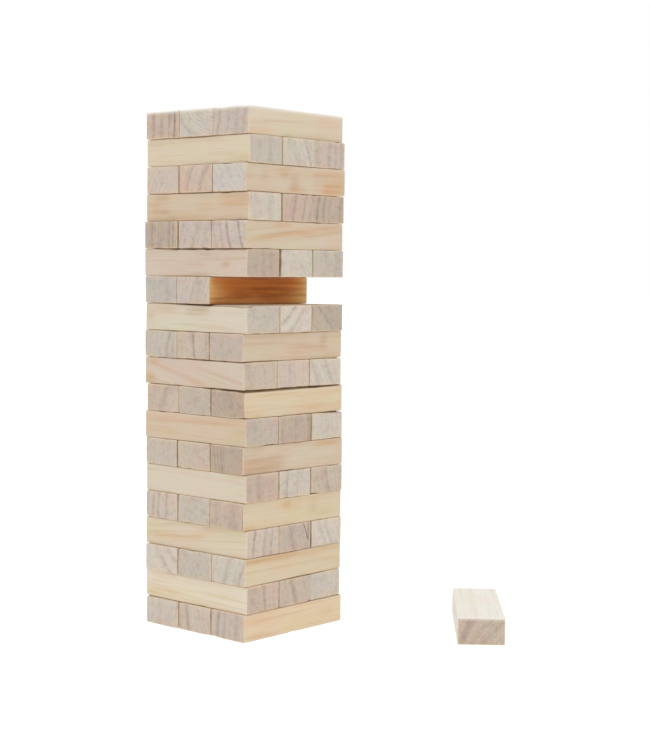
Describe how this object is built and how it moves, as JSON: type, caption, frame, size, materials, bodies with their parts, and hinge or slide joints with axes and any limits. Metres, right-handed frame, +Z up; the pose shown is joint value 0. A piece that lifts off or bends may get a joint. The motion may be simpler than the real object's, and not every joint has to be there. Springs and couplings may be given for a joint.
{
  "type": "giant tumbling tower",
  "caption": "Lawn stacking game: a tall tower of loose, equal softwood blocks laid in crosswise layers, with one block pulled out and lying on the ground beside it.",
  "frame": {"origin": "on the ground, under the middle of the tower, on the underside of the bottom layer's middle block", "axes": "+Z up; the bottom layer and every second layer above it run along Y, and the layers between them along X; the pulled block came out of the +X side"},
  "size_m": [0.4182, 0.3554, 0.6514],
  "materials": {
    "pine_cream": "planed, unvarnished",
    "pine_pale": "planed, unvarnished",
    "pine_honey": "planed, unvarnished"
  },
  "bodies": {
    "layer_01_left": {"layer_01_left": "pine_pale"},
    "layer_01_middle": {"layer_01_middle": "pine_cream"},
    "layer_01_right": {"layer_01_right": "pine_honey"},
    "layer_02_front": {"layer_02_front": "pine_honey"},
    "layer_02_middle": {"layer_02_middle": "pine_pale"},
    "layer_02_back": {"layer_02_back": "pine_cream"},
    "layer_03_left": {"layer_03_left": "pine_cream"},
    "layer_03_middle": {"layer_03_middle": "pine_honey"},
    "layer_03_right": {"layer_03_right": "pine_pale"},
    "layer_04_front": {"layer_04_front": "pine_pale"},
    "layer_04_middle": {"layer_04_middle": "pine_cream"},
    "layer_04_back": {"layer_04_back": "pine_honey"},
    "layer_05_left": {"layer_05_left": "pine_honey"},
    "layer_05_middle": {"layer_05_middle": "pine_pale"},
    "layer_05_right": {"layer_05_right": "pine_cream"},
    "layer_06_front": {"layer_06_front": "pine_cream"},
    "layer_06_middle": {"layer_06_middle": "pine_honey"},
    "layer_06_back": {"layer_06_back": "pine_pale"},
    "layer_07_left": {"layer_07_left": "pine_pale"},
    "layer_07_middle": {"layer_07_middle": "pine_cream"},
    "layer_07_right": {"layer_07_right": "pine_honey"},
    "layer_08_front": {"layer_08_front": "pine_honey"},
    "layer_08_middle": {"layer_08_middle": "pine_pale"},
    "layer_08_back": {"layer_08_back": "pine_cream"},
    "layer_09_left": {"layer_09_left": "pine_cream"},
    "layer_09_middle": {"layer_09_middle": "pine_honey"},
    "layer_09_right": {"layer_09_right": "pine_pale"},
    "layer_10_front": {"layer_10_front": "pine_pale"},
    "layer_10_middle": {"layer_10_middle": "pine_cream"},
    "layer_10_back": {"layer_10_back": "pine_honey"},
    "layer_11_left": {"layer_11_left": "pine_honey"},
    "layer_11_middle": {"layer_11_middle": "pine_pale"},
    "layer_11_right": {"layer_11_right": "pine_cream"},
    "layer_12_front": {"layer_12_front": "pine_cream"},
    "layer_12_middle": {"layer_12_middle": "pine_honey"},
    "layer_12_back": {"layer_12_back": "pine_pale"},
    "layer_13_left": {"layer_13_left": "pine_pale"},
    "layer_13_middle": {"layer_13_middle": "pine_cream"},
    "layer_14_front": {"layer_14_front": "pine_honey"},
    "layer_14_middle": {"layer_14_middle": "pine_pale"},
    "layer_14_back": {"layer_14_back": "pine_cream"},
    "layer_15_left": {"layer_15_left": "pine_cream"},
    "layer_15_middle": {"layer_15_middle": "pine_honey"},
    "layer_15_right": {"layer_15_right": "pine_pale"},
    "layer_16_front": {"layer_16_front": "pine_pale"},
    "layer_16_middle": {"layer_16_middle": "pine_cream"},
    "layer_16_back": {"layer_16_back": "pine_honey"},
    "layer_17_left": {"layer_17_left": "pine_honey"},
    "layer_17_middle": {"layer_17_middle": "pine_pale"},
    "layer_17_right": {"layer_17_right": "pine_cream"},
    "layer_18_front": {"layer_18_front": "pine_cream"},
    "layer_18_middle": {"layer_18_middle": "pine_honey"},
    "layer_18_back": {"layer_18_back": "pine_pale"},
    "layer_19_left": {"layer_19_left": "pine_pale"},
    "layer_19_middle": {"layer_19_middle": "pine_cream"},
    "layer_19_right": {"layer_19_right": "pine_honey"},
    "pulled_block": {"pulled_block": "pine_pale"}
  },
  "joints": [
    {"name": "layer_01_left_slide", "type": "slide", "parent": "layer_01_middle", "child": "layer_01_left", "axis": [0, 1, 0], "range_m": [-0.18, 0.18]},
    {"name": "layer_01_right_slide", "type": "slide", "parent": "layer_01_middle", "child": "layer_01_right", "axis": [0, 1, 0], "range_m": [-0.18, 0.18]},
    {"name": "layer_02_front_slide", "type": "slide", "parent": "layer_01_middle", "child": "layer_02_front", "axis": [1, 0.0087, 0], "range_m": [-0.18, 0.18]},
    {"name": "layer_02_middle_slide", "type": "slide", "parent": "layer_01_middle", "child": "layer_02_middle", "axis": [1, 0.0087, 0], "range_m": [-0.18, 0.18]},
    {"name": "layer_02_back_slide", "type": "slide", "parent": "layer_01_middle", "child": "layer_02_back", "axis": [1, 0.0087, 0], "range_m": [-0.18, 0.18]},
    {"name": "layer_03_left_slide", "type": "slide", "parent": "layer_01_middle", "child": "layer_03_left", "axis": [-0.0175, 0.9998, 0], "range_m": [-0.18, 0.18]},
    {"name": "layer_03_middle_slide", "type": "slide", "parent": "layer_01_middle", "child": "layer_03_middle", "axis": [-0.0175, 0.9998, 0], "range_m": [-0.18, 0.18]},
    {"name": "layer_03_right_slide", "type": "slide", "parent": "layer_01_middle", "child": "layer_03_right", "axis": [-0.0175, 0.9998, 0], "range_m": [-0.18, 0.18]},
    {"name": "layer_04_front_slide", "type": "slide", "parent": "layer_01_middle", "child": "layer_04_front", "axis": [1, 0.0087, 0], "range_m": [-0.18, 0.18]},
    {"name": "layer_04_middle_slide", "type": "slide", "parent": "layer_01_middle", "child": "layer_04_middle", "axis": [1, 0.0087, 0], "range_m": [-0.18, 0.18]},
    {"name": "layer_04_back_slide", "type": "slide", "parent": "layer_01_middle", "child": "layer_04_back", "axis": [1, 0.0087, 0], "range_m": [-0.18, 0.18]},
    {"name": "layer_05_left_slide", "type": "slide", "parent": "layer_01_middle", "child": "layer_05_left", "axis": [0.0087, 1, 0], "range_m": [-0.18, 0.18]},
    {"name": "layer_05_middle_slide", "type": "slide", "parent": "layer_01_middle", "child": "layer_05_middle", "axis": [0.0087, 1, 0], "range_m": [-0.18, 0.18]},
    {"name": "layer_05_right_slide", "type": "slide", "parent": "layer_01_middle", "child": "layer_05_right", "axis": [0.0087, 1, 0], "range_m": [-0.18, 0.18]},
    {"name": "layer_06_front_slide", "type": "slide", "parent": "layer_01_middle", "child": "layer_06_front", "axis": [1, -0.0087, 0], "range_m": [-0.18, 0.18]},
    {"name": "layer_06_middle_slide", "type": "slide", "parent": "layer_01_middle", "child": "layer_06_middle", "axis": [1, -0.0087, 0], "range_m": [-0.18, 0.18]},
    {"name": "layer_06_back_slide", "type": "slide", "parent": "layer_01_middle", "child": "layer_06_back", "axis": [1, -0.0087, 0], "range_m": [-0.18, 0.18]},
    {"name": "layer_07_left_slide", "type": "slide", "parent": "layer_01_middle", "child": "layer_07_left", "axis": [0.0175, 0.9998, 0], "range_m": [-0.18, 0.18]},
    {"name": "layer_07_middle_slide", "type": "slide", "parent": "layer_01_middle", "child": "layer_07_middle", "axis": [0.0175, 0.9998, 0], "range_m": [-0.18, 0.18]},
    {"name": "layer_07_right_slide", "type": "slide", "parent": "layer_01_middle", "child": "layer_07_right", "axis": [0.0175, 0.9998, 0], "range_m": [-0.18, 0.18]},
    {"name": "layer_08_front_slide", "type": "slide", "parent": "layer_01_middle", "child": "layer_08_front", "axis": [1, 0, 0], "range_m": [-0.18, 0.18]},
    {"name": "layer_08_middle_slide", "type": "slide", "parent": "layer_01_middle", "child": "layer_08_middle", "axis": [1, 0, 0], "range_m": [-0.18, 0.18]},
    {"name": "layer_08_back_slide", "type": "slide", "parent": "layer_01_middle", "child": "layer_08_back", "axis": [1, 0, 0], "range_m": [-0.18, 0.18]},
    {"name": "layer_09_left_slide", "type": "slide", "parent": "layer_01_middle", "child": "layer_09_left", "axis": [0, 1, 0], "range_m": [-0.18, 0.18]},
    {"name": "layer_09_middle_slide", "type": "slide", "parent": "layer_01_middle", "child": "layer_09_middle", "axis": [0, 1, 0], "range_m": [-0.18, 0.18]},
    {"name": "layer_09_right_slide", "type": "slide", "parent": "layer_01_middle", "child": "layer_09_right", "axis": [0, 1, 0], "range_m": [-0.18, 0.18]},
    {"name": "layer_10_front_slide", "type": "slide", "parent": "layer_01_middle", "child": "layer_10_front", "axis": [0.9998, -0.0175, 0], "range_m": [-0.18, 0.18]},
    {"name": "layer_10_middle_slide", "type": "slide", "parent": "layer_01_middle", "child": "layer_10_middle", "axis": [0.9998, -0.0175, 0], "range_m": [-0.18, 0.18]},
    {"name": "layer_10_back_slide", "type": "slide", "parent": "layer_01_middle", "child": "layer_10_back", "axis": [0.9998, -0.0175, 0], "range_m": [-0.18, 0.18]},
    {"name": "layer_11_left_slide", "type": "slide", "parent": "layer_01_middle", "child": "layer_11_left", "axis": [0.0087, 1, 0], "range_m": [-0.18, 0.18]},
    {"name": "layer_11_middle_slide", "type": "slide", "parent": "layer_01_middle", "child": "layer_11_middle", "axis": [0.0087, 1, 0], "range_m": [-0.18, 0.18]},
    {"name": "layer_11_right_slide", "type": "slide", "parent": "layer_01_middle", "child": "layer_11_right", "axis": [0.0087, 1, 0], "range_m": [-0.18, 0.18]},
    {"name": "layer_12_front_slide", "type": "slide", "parent": "layer_01_middle", "child": "layer_12_front", "axis": [1, 0, 0], "range_m": [-0.18, 0.18]},
    {"name": "layer_12_middle_slide", "type": "slide", "parent": "layer_01_middle", "child": "layer_12_middle", "axis": [1, 0, 0], "range_m": [-0.18, 0.18]},
    {"name": "layer_12_back_slide", "type": "slide", "parent": "layer_01_middle", "child": "layer_12_back", "axis": [1, 0, 0], "range_m": [-0.18, 0.18]},
    {"name": "layer_13_left_slide", "type": "slide", "parent": "layer_01_middle", "child": "layer_13_left", "axis": [0, 1, 0], "range_m": [-0.18, 0.18]},
    {"name": "layer_13_middle_slide", "type": "slide", "parent": "layer_01_middle", "child": "layer_13_middle", "axis": [0, 1, 0], "range_m": [-0.18, 0.18]},
    {"name": "layer_14_front_slide", "type": "slide", "parent": "layer_01_middle", "child": "layer_14_front", "axis": [1, 0.0087, 0], "range_m": [-0.18, 0.18]},
    {"name": "layer_14_middle_slide", "type": "slide", "parent": "layer_01_middle", "child": "layer_14_middle", "axis": [1, 0.0087, 0], "range_m": [-0.18, 0.18]},
    {"name": "layer_14_back_slide", "type": "slide", "parent": "layer_01_middle", "child": "layer_14_back", "axis": [1, 0.0087, 0], "range_m": [-0.18, 0.18]},
    {"name": "layer_15_left_slide", "type": "slide", "parent": "layer_01_middle", "child": "layer_15_left", "axis": [-0.0087, 1, 0], "range_m": [-0.18, 0.18]},
    {"name": "layer_15_middle_slide", "type": "slide", "parent": "layer_01_middle", "child": "layer_15_middle", "axis": [-0.0087, 1, 0], "range_m": [-0.18, 0.18]},
    {"name": "layer_15_right_slide", "type": "slide", "parent": "layer_01_middle", "child": "layer_15_right", "axis": [-0.0087, 1, 0], "range_m": [-0.18, 0.18]},
    {"name": "layer_16_front_slide", "type": "slide", "parent": "layer_01_middle", "child": "layer_16_front", "axis": [1, 0.0087, 0], "range_m": [-0.18, 0.18]},
    {"name": "layer_16_middle_slide", "type": "slide", "parent": "layer_01_middle", "child": "layer_16_middle", "axis": [1, 0.0087, 0], "range_m": [-0.18, 0.18]},
    {"name": "layer_16_back_slide", "type": "slide", "parent": "layer_01_middle", "child": "layer_16_back", "axis": [1, 0.0087, 0], "range_m": [-0.18, 0.18]},
    {"name": "layer_17_left_slide", "type": "slide", "parent": "layer_01_middle", "child": "layer_17_left", "axis": [0.0087, 1, 0], "range_m": [-0.18, 0.18]},
    {"name": "layer_17_middle_slide", "type": "slide", "parent": "layer_01_middle", "child": "layer_17_middle", "axis": [0.0087, 1, 0], "range_m": [-0.18, 0.18]},
    {"name": "layer_17_right_slide", "type": "slide", "parent": "layer_01_middle", "child": "layer_17_right", "axis": [0.0087, 1, 0], "range_m": [-0.18, 0.18]},
    {"name": "layer_18_front_slide", "type": "slide", "parent": "layer_01_middle", "child": "layer_18_front", "axis": [1, 0.0087, 0], "range_m": [-0.18, 0.18]},
    {"name": "layer_18_middle_slide", "type": "slide", "parent": "layer_01_middle", "child": "layer_18_middle", "axis": [1, 0.0087, 0], "range_m": [-0.18, 0.18]},
    {"name": "layer_18_back_slide", "type": "slide", "parent": "layer_01_middle", "child": "layer_18_back", "axis": [1, 0.0087, 0], "range_m": [-0.18, 0.18]},
    {"name": "layer_19_left_slide", "type": "slide", "parent": "layer_01_middle", "child": "layer_19_left", "axis": [-0.0349, 0.9994, 0], "range_m": [-0.18, 0.18]},
    {"name": "layer_19_middle_slide", "type": "slide", "parent": "layer_01_middle", "child": "layer_19_middle", "axis": [-0.0349, 0.9994, 0], "range_m": [-0.18, 0.18]},
    {"name": "layer_19_right_slide", "type": "slide", "parent": "layer_01_middle", "child": "layer_19_right", "axis": [-0.0349, 0.9994, 0], "range_m": [-0.18, 0.18]},
    {"name": "pulled_block_lift", "type": "slide", "parent": "layer_01_middle", "child": "pulled_block", "axis": [0, 0, 1], "range_m": [0, 0.652]}
  ]
}
